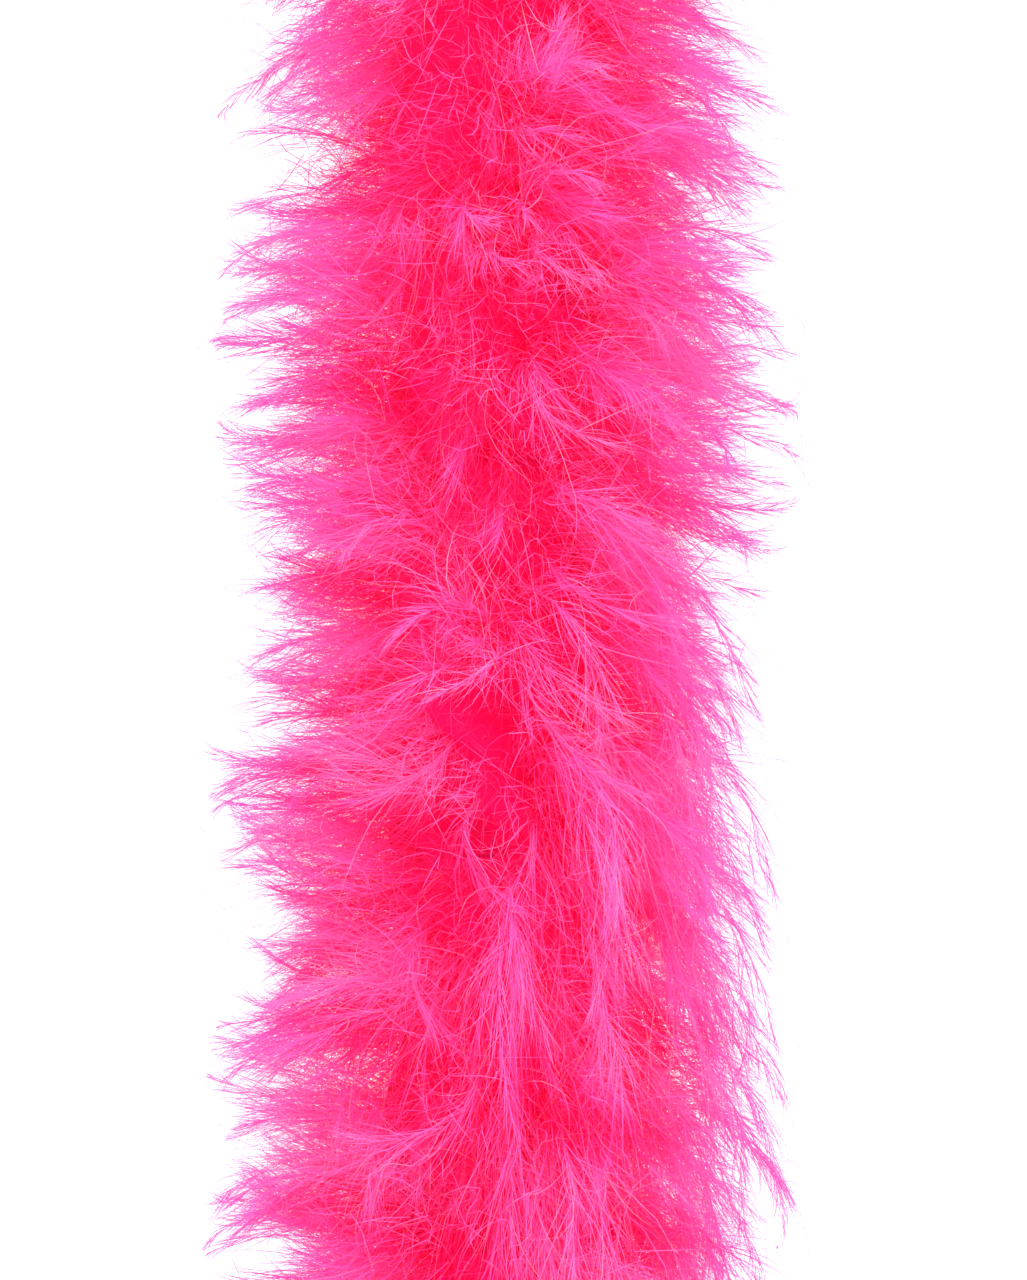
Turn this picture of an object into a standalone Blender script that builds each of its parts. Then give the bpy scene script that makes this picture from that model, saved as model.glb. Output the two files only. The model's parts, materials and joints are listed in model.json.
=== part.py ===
"""Feather boa: a core cord in short stretches, each carrying stitched rings of plumes.

Metres, +Z up. The boa hangs from its end loop, whose inner top is the origin.
Each stretch bends against the one above it at a pivot on the core's centre line.
"""

import math

import bmesh
import bpy

# Core cord and the way it is divided
CORE_RADIUS = 0.0020
FIT_GAP = 0.0003
STRETCH_COUNT = 18
STRETCH_LENGTH = 0.100
BEND_LIMIT_DEG = 45.0

# Roundness of the pieces
SIDES = 12
BALL_END_DEG = (90, 45, 0)
CORD_BEVEL_STEPS = 2
KNOT_RINGS = 8
AXIS_MERGE = 0.00005

# Stitching thread wound over the quills
THREAD_WALL = 0.0005

# Plume rings
PLUME_RADIUS = 0.068
HUB_RADIUS = 0.0060
LAYERS_PER_STRETCH = 3
LAYER_SPACING_AT_HUB = 0.0280
LAYER_SPACING_AT_RIM = 0.0165
LAYER_THICKNESS_AT_HUB = 0.0045
LAYER_THICKNESS_AT_RIM = 0.0024
LAYER_DROOP = 0.0060

# Loop at the hanging end
LOOP_INNER_RADIUS = 0.0090
LOOP_NECK_HEIGHT = 0.0220
LOOP_ARC_POINTS = 13
LOOP_NECK_POINTS = 7
TOP_WHIPPING_LENGTH = 0.0120
TOP_WHIPPING_WALL = 0.0008
PIVOT_CLEARANCE = 0.0026

# Free end
BOTTOM_WHIPPING_LENGTH = 0.0080
KNOT_RADIUS = 0.0052
KNOT_HEIGHT_RATIO = 0.85
TAIL_LENGTH = 0.0220
TAIL_SWAY = 0.0030
TAIL_POINTS = 6

# Colours and finish
DOWN_COLOUR = (1.0, 0.03, 0.26)
DOWN_ROUGHNESS = 0.9
CORD_COLOUR = (0.75, 0.02, 0.17)
CORD_ROUGHNESS = 0.8
THREAD_COLOUR = (0.85, 0.05, 0.25)
THREAD_ROUGHNESS = 0.7

HALF_BEND = math.radians(BEND_LIMIT_DEG / 2)
LEG_OFFSET = CORE_RADIUS + FIT_GAP / 2
LOOP_ROUTE_RADIUS = LOOP_INNER_RADIUS + CORE_RADIUS
LOOP_CENTRE_Z = -LOOP_INNER_RADIUS
NECK_BOTTOM_Z = LOOP_CENTRE_Z - LOOP_NECK_HEIGHT
WHIPPING_BOTTOM_Z = NECK_BOTTOM_Z - TOP_WHIPPING_LENGTH
FIRST_PIVOT_Z = WHIPPING_BOTTOM_Z - PIVOT_CLEARANCE

THREAD_INNER_RADIUS = CORE_RADIUS + FIT_GAP
THREAD_OUTER_RADIUS = THREAD_INNER_RADIUS + THREAD_WALL
BORE_RADIUS = THREAD_OUTER_RADIUS + FIT_GAP


def clear_scene():
    for thing in list(bpy.data.objects):
        bpy.data.objects.remove(thing, do_unlink=True)


def make_material(name, colour, roughness):
    material = bpy.data.materials.new(name)
    material.use_nodes = True
    shader = material.node_tree.nodes["Principled BSDF"]
    shader.inputs["Base Color"].default_value = (*colour, 1.0)
    shader.inputs["Roughness"].default_value = roughness
    shader.inputs["Metallic"].default_value = 0.0
    return material


def add_object(name, data, material, collection, parent):
    """Links new object data under its parent and gives it its material."""
    piece = bpy.data.objects.new(name, data)
    collection.objects.link(piece)
    piece.data.materials.append(material)
    piece.parent = parent
    return piece


def add_pivot(name, height, collection, parent):
    """An empty on a bend's pivot, a given height above its parent's own place."""
    pivot = bpy.data.objects.new(name, None)
    pivot.empty_display_size = CORE_RADIUS
    pivot.location.z = height
    pivot.parent = parent
    collection.objects.link(pivot)
    return pivot


def turned(name, profile, closed, material, collection, parent):
    """A round piece: (radius, height) points, outer side from top to bottom, turned about Z."""
    mesh = bpy.data.meshes.new(name)
    points = [(radius, 0.0, height) for radius, height in profile]
    edges = [(i, i + 1) for i in range(len(points) - 1)]
    if closed:
        edges.append((len(points) - 1, 0))
    mesh.from_pydata(points, edges, [])
    piece = add_object(name, mesh, material, collection, parent)
    screw = piece.modifiers.new("turn", "SCREW")
    screw.axis = "Z"
    screw.steps = SIDES
    screw.render_steps = SIDES
    screw.use_merge_vertices = True
    screw.merge_threshold = AXIS_MERGE
    screw.use_smooth_shade = True
    return piece


def bend_room(radius):
    """How far from a pivot a piece must stay at this radius to clear its neighbour at full bend."""
    return FIT_GAP + radius * math.tan(HALF_BEND)


def core_profile(top, bottom):
    """A cord stretch with ball ends."""
    arc = [math.radians(a) for a in BALL_END_DEG]
    upper = [(CORE_RADIUS * math.cos(a), top + CORE_RADIUS * math.sin(a)) for a in arc]
    lower = [(CORE_RADIUS * math.cos(a), bottom - CORE_RADIUS * math.sin(a)) for a in arc]
    upper[0] = (0.0, top + CORE_RADIUS)
    lower[0] = (0.0, bottom - CORE_RADIUS)
    return upper + lower[::-1]


def sleeve_profile(inner, outer, top, bottom):
    return [(outer, top), (outer, bottom), (inner, bottom), (inner, top)]


def plume_profile(middle):
    """Three drooping layers of plumes standing out from one stitched hub."""
    half_hub = STRETCH_LENGTH / 2 - bend_room(HUB_RADIUS)
    profile = [(HUB_RADIUS, middle + half_hub)]
    for layer in range(LAYERS_PER_STRETCH):
        step = (LAYERS_PER_STRETCH - 1) / 2 - layer
        root = middle + step * LAYER_SPACING_AT_HUB + LAYER_DROOP / 2
        rim = middle + step * LAYER_SPACING_AT_RIM - LAYER_DROOP / 2
        profile += [
            (HUB_RADIUS, root + LAYER_THICKNESS_AT_HUB / 2),
            (PLUME_RADIUS, rim + LAYER_THICKNESS_AT_RIM / 2),
            (PLUME_RADIUS, rim - LAYER_THICKNESS_AT_RIM / 2),
            (HUB_RADIUS, root - LAYER_THICKNESS_AT_HUB / 2),
        ]
    profile += [
        (HUB_RADIUS, middle - half_hub),
        (BORE_RADIUS, middle - half_hub),
        (BORE_RADIUS, middle + half_hub),
    ]
    return profile


def smooth(share):
    return share * share * (3 - 2 * share)


def loop_route():
    """Centre line of the loop: up one leg, over the round top and down the other leg."""
    leg = [(LEG_OFFSET, WHIPPING_BOTTOM_Z + FIT_GAP)]
    for i in range(LOOP_NECK_POINTS):
        share = i / LOOP_NECK_POINTS
        x = LEG_OFFSET + (LOOP_ROUTE_RADIUS - LEG_OFFSET) * smooth(share)
        leg.append((x, NECK_BOTTOM_Z + LOOP_NECK_HEIGHT * share))
    top = []
    for i in range(LOOP_ARC_POINTS):
        a = math.pi * i / (LOOP_ARC_POINTS - 1)
        top.append((LOOP_ROUTE_RADIUS * math.cos(a), LOOP_CENTRE_Z + LOOP_ROUTE_RADIUS * math.sin(a)))
    return leg + top + [(-x, z) for x, z in reversed(leg)]


def tube(name, route, radius, material, collection, parent):
    """A cord along (x, z) points."""
    curve = bpy.data.curves.new(name, "CURVE")
    curve.dimensions = "3D"
    curve.bevel_depth = radius
    curve.bevel_resolution = CORD_BEVEL_STEPS
    curve.use_fill_caps = True
    spline = curve.splines.new("POLY")
    spline.points.add(len(route) - 1)
    for point, (x, z) in zip(spline.points, route):
        point.co = (x, 0.0, z, 1.0)
    spline.use_smooth = True
    return add_object(name, curve, material, collection, parent)


def oval_sleeve(name, half_spread, radius, top, bottom, wall, material, collection, parent):
    """A thread winding round two cords side by side: an open oval wall with thickness."""
    shape = bmesh.new()
    ring = []
    half_turn = SIDES // 2
    for side in (1, -1):
        for i in range(half_turn + 1):
            a = math.pi * i / half_turn - math.pi / 2
            x = side * (half_spread + radius * math.cos(a))
            ring.append(shape.verts.new((x, side * radius * math.sin(a), top)))
    edges = [shape.edges.new((ring[i], ring[(i + 1) % len(ring)])) for i in range(len(ring))]
    grown = bmesh.ops.extrude_edge_only(shape, edges=edges)["geom"]
    for vert in grown:
        if isinstance(vert, bmesh.types.BMVert):
            vert.co.z = bottom
    bmesh.ops.recalc_face_normals(shape, faces=shape.faces)
    outward = sum(face.normal.x * face.calc_center_median().x for face in shape.faces)
    if outward < 0:
        bmesh.ops.reverse_faces(shape, faces=shape.faces)
    mesh = bpy.data.meshes.new(name)
    shape.to_mesh(mesh)
    shape.free()
    piece = add_object(name, mesh, material, collection, parent)
    solid = piece.modifiers.new("wall", "SOLIDIFY")
    solid.thickness = wall
    solid.offset = 1.0
    return piece


def knot(name, height, material, collection, parent):
    shape = bmesh.new()
    bmesh.ops.create_uvsphere(shape, u_segments=SIDES, v_segments=KNOT_RINGS, radius=KNOT_RADIUS)
    for vert in shape.verts:
        vert.co.z = vert.co.z * KNOT_HEIGHT_RATIO + height
    mesh = bpy.data.meshes.new(name)
    shape.to_mesh(mesh)
    shape.free()
    mesh.shade_smooth()
    return add_object(name, mesh, material, collection, parent)


def build_loop_end(materials, collection):
    """The fixed end: the loop and the thread winding that closes its neck."""
    tube("hang_loop", loop_route(), CORE_RADIUS, materials["cord"], collection, None)
    oval_sleeve(
        "top_whipping", LEG_OFFSET, CORE_RADIUS + FIT_GAP, NECK_BOTTOM_Z, WHIPPING_BOTTOM_Z,
        TOP_WHIPPING_WALL, materials["thread"], collection, None,
    )


def build_stretch(number, pivot, materials, collection):
    """One stretch below its pivot: core cord, stitching thread and plume ring."""
    tag = f"{number:02d}"
    ball = CORE_RADIUS / math.cos(HALF_BEND) + FIT_GAP / 2
    last = number == STRETCH_COUNT
    core_bottom = -STRETCH_LENGTH + ball
    if last:
        core_bottom = -STRETCH_LENGTH - BOTTOM_WHIPPING_LENGTH
    turned(f"core_{tag}", core_profile(-ball, core_bottom), False, materials["cord"], collection, pivot)
    room = bend_room(THREAD_OUTER_RADIUS)
    sleeve = sleeve_profile(THREAD_INNER_RADIUS, THREAD_OUTER_RADIUS, -room, room - STRETCH_LENGTH)
    turned(f"binding_{tag}", sleeve, True, materials["thread"], collection, pivot)
    profile = plume_profile(-STRETCH_LENGTH / 2)
    turned(f"plumes_{tag}", profile, True, materials["down"], collection, pivot)


def build_free_end(pivot, materials, collection):
    """Below the last plumes: a short winding, the stopper knot and the cord's tail."""
    top = -STRETCH_LENGTH
    sleeve = sleeve_profile(THREAD_INNER_RADIUS, THREAD_OUTER_RADIUS, top, top - BOTTOM_WHIPPING_LENGTH)
    turned("bottom_whipping", sleeve, True, materials["thread"], collection, pivot)
    core_end = top - BOTTOM_WHIPPING_LENGTH - CORE_RADIUS
    knot_half = KNOT_RADIUS * KNOT_HEIGHT_RATIO
    knot_z = core_end - FIT_GAP - knot_half
    knot("end_knot", knot_z, materials["cord"], collection, pivot)
    tail_top = knot_z - knot_half - FIT_GAP
    route = []
    for i in range(TAIL_POINTS):
        share = i / (TAIL_POINTS - 1)
        route.append((TAIL_SWAY * smooth(share), tail_top - TAIL_LENGTH * share))
    tube("end_tail", route, CORE_RADIUS, materials["cord"], collection, pivot)


def main():
    clear_scene()
    boa = bpy.data.collections.new("feather_boa")
    bpy.context.scene.collection.children.link(boa)
    materials = {
        "down": make_material("marabou_down", DOWN_COLOUR, DOWN_ROUGHNESS),
        "cord": make_material("core_cord", CORD_COLOUR, CORD_ROUGHNESS),
        "thread": make_material("binding_thread", THREAD_COLOUR, THREAD_ROUGHNESS),
    }
    build_loop_end(materials, boa)
    pivot = None
    for number in range(1, STRETCH_COUNT + 1):
        height = FIRST_PIVOT_Z if pivot is None else -STRETCH_LENGTH
        pivot = add_pivot(f"bend_{number:02d}", height, boa, pivot)
        build_stretch(number, pivot, materials, boa)
    build_free_end(pivot, materials, boa)


main()
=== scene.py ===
# %% [markdown]
# # A feather boa in down plumes
# A marabou boa is a limp cord with hundreds of down plumes stitched round it. Each plume has a
# thin shaft, and each shaft carries about a hundred soft barbs. This lesson grows those plumes in
# numpy as real geometry, because a boa is nothing but its strands: a bumped surface would have
# the wrong outline from every side.
#
# The frame comes first. It is the plain working model of the boa, with its bends.

# %% Load the frame
import json
import math

import bpy
import numpy as np
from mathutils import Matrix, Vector

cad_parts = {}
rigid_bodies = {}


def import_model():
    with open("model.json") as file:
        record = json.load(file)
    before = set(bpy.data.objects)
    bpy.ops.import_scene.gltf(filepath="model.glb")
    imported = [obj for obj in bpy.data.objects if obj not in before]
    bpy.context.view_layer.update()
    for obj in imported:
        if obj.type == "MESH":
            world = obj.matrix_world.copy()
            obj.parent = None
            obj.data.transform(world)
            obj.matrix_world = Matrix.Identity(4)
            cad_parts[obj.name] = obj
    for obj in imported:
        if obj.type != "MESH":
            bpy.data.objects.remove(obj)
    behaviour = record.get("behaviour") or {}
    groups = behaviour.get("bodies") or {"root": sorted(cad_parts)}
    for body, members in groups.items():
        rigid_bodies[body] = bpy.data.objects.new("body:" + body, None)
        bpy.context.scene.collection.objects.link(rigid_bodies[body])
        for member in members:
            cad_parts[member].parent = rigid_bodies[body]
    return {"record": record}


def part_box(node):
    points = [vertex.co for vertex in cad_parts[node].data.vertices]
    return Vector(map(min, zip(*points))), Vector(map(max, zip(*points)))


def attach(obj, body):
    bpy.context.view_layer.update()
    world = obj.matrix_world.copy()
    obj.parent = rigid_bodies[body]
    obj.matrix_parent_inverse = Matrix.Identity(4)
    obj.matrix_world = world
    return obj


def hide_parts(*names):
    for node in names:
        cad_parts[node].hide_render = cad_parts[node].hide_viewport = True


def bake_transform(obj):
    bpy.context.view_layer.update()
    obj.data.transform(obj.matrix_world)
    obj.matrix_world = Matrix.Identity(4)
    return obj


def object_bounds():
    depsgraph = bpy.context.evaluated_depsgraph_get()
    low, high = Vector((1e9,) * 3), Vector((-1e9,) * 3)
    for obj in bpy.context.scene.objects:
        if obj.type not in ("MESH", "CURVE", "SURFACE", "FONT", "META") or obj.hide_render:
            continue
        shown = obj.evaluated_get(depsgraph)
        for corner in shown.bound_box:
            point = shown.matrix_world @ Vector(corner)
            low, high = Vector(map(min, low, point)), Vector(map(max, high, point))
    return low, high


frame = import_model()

cad_low, cad_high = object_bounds()
bends = frame["record"]["behaviour"]["joints"]
pivot_z = [bend["pos_m"][2] for bend in bends]
stretch = pivot_z[0] - pivot_z[1]
stretch_names = [bend["child"] for bend in bends]
plume_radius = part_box("plumes_01")[1][0]
print(len(bends), "bends,", round(stretch, 3), "m apart; the down is", round(plume_radius, 3), "m in radius")

# %% [markdown]
# ## Camera
# The boa hangs straight down and is seen from straight in front, at the height of its middle.
# A long lens stands well back, so that the strands at the edges are seen as square on as those in
# the middle. The frame is 0.335 m high, far less than the boa's length, so both ends are outside it.

# %% Camera
VIEW_Z = (cad_low[2] + cad_high[2]) / 2
FRAME_HEIGHT = 0.335
LENS = 85.0
SENSOR = 36.0
CAMERA_SIDE = 0.0035

scene = bpy.context.scene
camera_data = bpy.data.cameras.new("camera")
camera_data.lens = LENS
camera_data.sensor_width = SENSOR
camera = bpy.data.objects.new("camera", camera_data)
scene.collection.objects.link(camera)
distance = FRAME_HEIGHT / 2 * LENS / (SENSOR / 2)
camera.location = (CAMERA_SIDE, -distance, VIEW_Z)
camera.rotation_euler = (math.radians(90), 0, 0)
scene.camera = camera
print("camera", round(distance, 3), "m in front, at z", round(VIEW_Z, 3))

# %% [markdown]
# ## Light
# Down has no gloss worth lighting for. What it needs is soft light from everywhere, so that it
# glows through from strand to strand. A white world does most of that. Three large lamps only
# model the tufts a little: a key from the upper left, a weak fill, and one behind that lights the
# edges through. Many bounces are allowed, because the colour of down is mostly bounced light.

# %% World and lamps
WORLD_STRENGTH = 1.35
KEY_WATTS, FILL_WATTS, BACK_WATTS = 9.0, 4.0, 8.0


def soft_lamp(name, place, size, power):
    lamp = bpy.data.lights.new(name, "AREA")
    lamp.size = size
    lamp.energy = power
    stand = bpy.data.objects.new(name, lamp)
    stand.location = place
    scene.collection.objects.link(stand)
    aim = Vector((0, 0, VIEW_Z)) - stand.location
    stand.rotation_euler = aim.to_track_quat("-Z", "Y").to_euler()
    stand.visible_camera = False


world = bpy.data.worlds.new("studio")
scene.world = world
world.use_nodes = True
sky = world.node_tree.nodes["Background"]
sky.inputs["Color"].default_value = (1, 1, 1, 1)
sky.inputs["Strength"].default_value = WORLD_STRENGTH
soft_lamp("key", (-0.9, -1.6, VIEW_Z + 0.9), 0.9, KEY_WATTS)
soft_lamp("fill", (1.3, -1.2, VIEW_Z - 0.1), 1.1, FILL_WATTS)
soft_lamp("back", (0.2, 1.5, VIEW_Z + 0.8), 1.2, BACK_WATTS)
scene.view_settings.view_transform = "Standard"
scene.cycles.diffuse_bounces = 8
print("lamps of", KEY_WATTS, FILL_WATTS, "and", BACK_WATTS, "W in a white world")

# %% [markdown]
# ## Floor
# The boa hangs clear of a plain pale floor, a little below its tail.

# %% Floor
FLOOR_SIZE = 3.2
FLOOR_DROP = 0.06
bpy.ops.mesh.primitive_plane_add(size=FLOOR_SIZE, location=(0, 0, cad_low[2] - FLOOR_DROP))
floor = bpy.context.object
floor.name = "floor"
floor_paint = bpy.data.materials.new("pale_floor")
floor_paint.use_nodes = True
floor_shader = floor_paint.node_tree.nodes["Principled BSDF"]
floor_shader.inputs["Base Color"].default_value = (0.9, 0.9, 0.9, 1)
floor_shader.inputs["Roughness"].default_value = 0.9
floor.data.materials.append(floor_paint)
print("floor at z", round(floor.location.z, 3))

# %% [markdown]
# ## How the down lies
# On a hanging boa the plumes don't all stand straight out. Along some stretches they stand out
# level, and along others one side has fallen and drapes like fur. Between the two lies a parting
# where the dark inner down shows. One small field gives all three for any place round the boa.

# %% The lay of the down
rng_field = np.random.default_rng(11)
BED_RADIUS = 0.027
DRAPE_PERIOD = 0.80
DRAPE_AZIMUTH = math.radians(-42)
PARTING_AZIMUTH = math.radians(-104)
PARTING_HALF = 0.30
TWIST_LENGTH = 2.6
SWING = 1.25
SWING_FADE = 0.9


def smooth(x, low, high):
    """0 below low, 1 above high and an easy curve between them."""
    share = np.clip((x - low) / (high - low), 0, 1)
    return share * share * (3 - 2 * share)


def turn_between(a, b):
    """The signed angle from b to a."""
    return (a - b + np.pi) % (2 * np.pi) - np.pi


def twist(z):
    """The lay turns slowly round the boa along its length."""
    return 2 * np.pi * (VIEW_Z - z) / TWIST_LENGTH


def drape(a, z):
    """1 where the plumes have fallen, 0 where they stand out level."""
    edge = 0.020 * np.sin(3 * a + 31 * z) + 0.014 * np.sin(7 * a + 83 * z)
    along = smooth(np.sin(2 * np.pi * (VIEW_Z + 0.030 + edge - z) / DRAPE_PERIOD), -0.45, 0.45)
    around = np.cos(turn_between(a, DRAPE_AZIMUTH + twist(z)))
    return along * smooth(around, 0.10, 0.62)


def from_parting(a, z):
    """The angle from the middle of the parting, which wanders a little along the boa."""
    wander = 0.16 * np.sin(z * 41) + 0.14 * np.sin(z * 97 + 1) + 0.20 * np.sin(z * 230 + 3 * a)
    return turn_between(a, PARTING_AZIMUTH + twist(z) + wander)


def swing(away):
    """How far plumes lean sideways, away from the parting."""
    clear = np.maximum(np.abs(away) - PARTING_HALF, 0)
    return SWING * np.sign(away) * np.exp(-clear / SWING_FADE)


print("drape in front at the middle", round(float(drape(math.radians(-60), VIEW_Z - 0.08)), 2))

# %% [markdown]
# ## Rounded ends
# The first and last plumes have no neighbours to hold them level. They fan out past the end, up at
# the top and down at the bottom, so that the boa ends in a round brush and not in a flat cut.

# %% The ends of the down
END_ROUNDING = 0.030
END_SHARE = 0.12
boa_top = pivot_z[0]
boa_bottom = pivot_z[-1] - stretch


def end_round(z):
    """1 along the boa, falling to a small share at its two rounded ends."""
    share = np.clip(np.minimum(boa_top - z, z - boa_bottom) / END_ROUNDING, 0, 1)
    return np.maximum(np.sqrt(1 - (1 - share) ** 2), END_SHARE)


def end_lean(z):
    """Plumes at the very ends fan out past them: up at the top, down at the bottom."""
    at_top = 1 - smooth(boa_top - z, 0, END_ROUNDING)
    at_bottom = 1 - smooth(z - boa_bottom, 0, END_ROUNDING)
    return 0.85 * at_bottom - 0.50 * at_top


print("down from z", round(boa_top, 3), "to", round(boa_bottom, 3))

# %% [markdown]
# ## Longer and shorter locks
# The outline of real down is uneven. Here and there a lock of plumes stands out, and beside it a
# shorter one leaves a notch. A few of them are placed down both sides of the part that is
# seen, and gentle waves do the rest all round. Each entry is a height above the middle of the
# view, a side, and how much longer or shorter the plumes are.

# %% Locks
LEFT, RIGHT = math.pi, 0.0
LONG_LOCKS = [
    (0.141, LEFT, -0.10), (0.084, LEFT, 0.34), (0.066, LEFT, 0.34), (0.012, LEFT, -0.10),
    (-0.030, LEFT, -0.10), (-0.050, LEFT, 0.26), (-0.104, LEFT, -0.10), (-0.128, LEFT, 0.16),
    (0.145, RIGHT, 0.24), (0.118, RIGHT, -0.24), (0.095, RIGHT, 0.20), (0.072, RIGHT, -0.14),
    (0.053, RIGHT, 0.22), (0.022, RIGHT, -0.20), (-0.060, RIGHT, 0.12),
]
LOCK_HEIGHT = 0.012
LOCK_WIDTH = 0.8
LOCK_WAVES = 10
LOCK_WAVE_GAIN = 0.10


def random_waves(count, most_turns, slowest, fastest):
    """Waves that go some whole turns round the boa while they run along it."""
    return [(rng_field.integers(*most_turns), rng_field.uniform(slowest, fastest), rng_field.uniform(0, 6.28))
            for _ in range(count)]


def ripple(waves, a, z):
    """The sum of the waves at a place on the boa."""
    return sum(np.sin(turns * a + rate * z + phase) for turns, rate, phase in waves)


lock_waves = random_waves(LOCK_WAVES, (2, 7), 70, 260)


def lock(a, z):
    """How much longer or shorter the plumes grow here than elsewhere, as a share."""
    gain = LOCK_WAVE_GAIN * ripple(lock_waves, a, z) / 3.2
    for height, side, extra in LONG_LOCKS:
        near = ((z - VIEW_Z - height) / LOCK_HEIGHT) ** 2 + (turn_between(a, side) / LOCK_WIDTH) ** 2
        gain = gain + extra * np.exp(-near)
    return gain


print(len(LONG_LOCKS), "locks placed by hand and", LOCK_WAVES, "waves")

# %% [markdown]
# ## Clumps
# Neighbouring tufts cling together at their ends, about as wide as a thumb. The boa's surface is
# divided into slanting cells of that size, and each tuft later leans a little towards the middle
# of its own cell. The middles are set off by a scrambled number, so that the cells don't show.

# %% Clumps
CLUMPS_AROUND = 13
CLUMP_HEIGHT = 0.021
CLUMP_SLANT = 0.37


def clump_centre(a, z):
    """The middle of the clump that a tuft at this place joins."""
    column = np.floor(a / (2 * np.pi) * CLUMPS_AROUND)
    row = np.floor(z / CLUMP_HEIGHT + CLUMP_SLANT * column)
    jitter = np.sin(row * 12.9898 + column * 78.233) * 43758.5453
    jitter = jitter - np.floor(jitter) - 0.5
    centre_a = (column + 0.5 + 0.5 * jitter) * 2 * np.pi / CLUMPS_AROUND
    return centre_a, (row + 0.5 - CLUMP_SLANT * column + 0.5 * jitter) * CLUMP_HEIGHT


print(CLUMPS_AROUND, "clumps round the boa, each", CLUMP_HEIGHT, "m high")

# %% [markdown]
# ## Growing plumes
# A plume starts at the cord, rises straight out, and then turns towards the way the down lies.
# Its path is a sum of short steps in a direction that changes smoothly, which numpy can do for
# every plume of a stretch at once. Barbs grow from the shaft in the same way.

# %% Paths
def unit(v):
    """The same directions with a length of one."""
    return v / np.maximum(np.linalg.norm(v, axis=-1, keepdims=True), 1e-9)


def walk(start, directions, step):
    """Points reached from start by equal steps along each direction: (n, k, 3) gives (n, k + 1, 3)."""
    steps = directions * step[:, None, None]
    path = np.concatenate([np.zeros_like(steps[:, :1]), np.cumsum(steps, axis=1)], axis=1)
    return start[:, None] + path


def turning(first, last, steps):
    """Directions that turn from first to last in equal shares, not yet of length one."""
    share = ((np.arange(steps) + 0.5) / steps)[None, :, None]
    return (1 - share) * first[:, None] + share * last[:, None]


walked = walk(np.zeros((1, 3)), np.ones((1, 4, 3)), np.ones(1))
print("four steps give", walked.shape[1], "points")

# %% [markdown]
# ## How far a strand may reach
# A boa of this make is as wide as its dense down, with a few hairs past that. A strand that would
# reach too far is drawn shorter about its root, because cutting it off or pressing it flat would
# leave a hook at the outline.

# %% Reach
REACH_LIMIT = plume_radius + 0.0138
REACH_SOFT = 0.069


def keep_in(points):
    """Draws in the few strands that would reach past the boa's widest wisps."""
    r = np.hypot(points[..., 0], points[..., 1])
    over = np.maximum(r - REACH_SOFT, 0)
    room = REACH_LIMIT - REACH_SOFT
    wanted = np.where(over > 0, REACH_SOFT + room * np.tanh(over / room), r)
    points[..., :2] *= (wanted / np.maximum(r, 1e-6))[..., None]
    return points


def shorten(points):
    """Strands that would reach too far are made shorter, so that they keep their shape."""
    r = np.hypot(points[..., 0], points[..., 1])
    root = r[:, 0]
    far = r.max(axis=1)
    over = np.maximum(far - REACH_SOFT, 0)
    room = REACH_LIMIT - REACH_SOFT
    wanted = np.maximum(REACH_SOFT + room * np.tanh(over / room), root)
    share = np.where(over > 0, (wanted - root) / np.maximum(far - root, 1e-6), 1.0)
    return points[:, :1] + (points - points[:, :1]) * np.clip(share, 0.1, 1.0)[:, None, None]


print("strands stop", round(REACH_LIMIT, 4), "m from the core")

# %% [markdown]
# ## Tufts
# Plumes are stitched on in tufts of a few, and the plumes of one tuft lie almost alike. So the lay
# is worked out once for each tuft: how far it droops, how far it swings sideways, how long it is
# and how its dye took. The tufts are set round the core by the golden turn, the same rule that
# spaces the seeds of a sunflower, because it leaves no rows to be seen.

# %% Tufts
TUFTS_PER_METRE = 620
GOLDEN_TURN = math.pi * (3 - math.sqrt(5))
LEVEL_DROOP = 0.08
FALLEN_DROOP = 1.20
RIGHT_DROOP = 0.30
FALLEN_EXTRA = 0.42
LOOSE_SHORTER = 0.28
CLING_DROOP = 0.75 / 0.055
CLING_SWING = 0.60
STRAY_TURN, STRAY_DROOP, STRAY_SWING = 0.25, 0.20, 0.26
LOOSE_SAG, LOOSE_DROOP, LOOSE_SWING = 0.15, 0.55, 0.80
TUFT_SHORTEST, TUFT_LONGEST = 0.86, 1.08


def lay_tufts(z_top, z_bottom, rng):
    """Place, droop, swing, length, dye and fall of each tuft rooted between two heights."""
    count = int(round((z_top - z_bottom) * TUFTS_PER_METRE))
    index = np.arange(count)
    z = z_top - (index + rng.uniform(0, 1, count)) / count * (z_top - z_bottom)
    a = (index * GOLDEN_TURN + rng.normal(0, STRAY_TURN, count) + z_top * 7) % (2 * np.pi)
    away = from_parting(a, z)
    loose = smooth(-np.abs(away), -PARTING_HALF - 0.12, -PARTING_HALF + 0.05)
    fall = drape(a, z)
    droop = LEVEL_DROOP + rng.normal(0, STRAY_DROOP, count) + FALLEN_DROOP * fall
    droop += RIGHT_DROOP * smooth(np.cos(a), 0.1, 0.9) * (1 - fall)
    droop += loose * rng.normal(LOOSE_SAG, LOOSE_DROOP, count)
    side = swing(away) * (1 - loose) + rng.normal(0, STRAY_SWING, count)
    side += loose * rng.normal(0, LOOSE_SWING, count)
    clump_a, clump_z = clump_centre(a, z)
    cling = (1 - 0.6 * fall) * (1 - loose)
    droop += cling * CLING_DROOP * (z - clump_z)
    side -= cling * CLING_SWING * turn_between(a, clump_a)
    droop += end_lean(z)
    dye = rng.uniform(0, 1, count)
    length = rng.uniform(TUFT_SHORTEST, TUFT_LONGEST, count) * (1 + lock(a, z))
    length *= (1 + FALLEN_EXTRA * fall) * (1 - LOOSE_SHORTER * loose * (1 - fall))
    return a, z, droop, side, length, dye, fall


print(TUFTS_PER_METRE, "tufts a metre")

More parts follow.
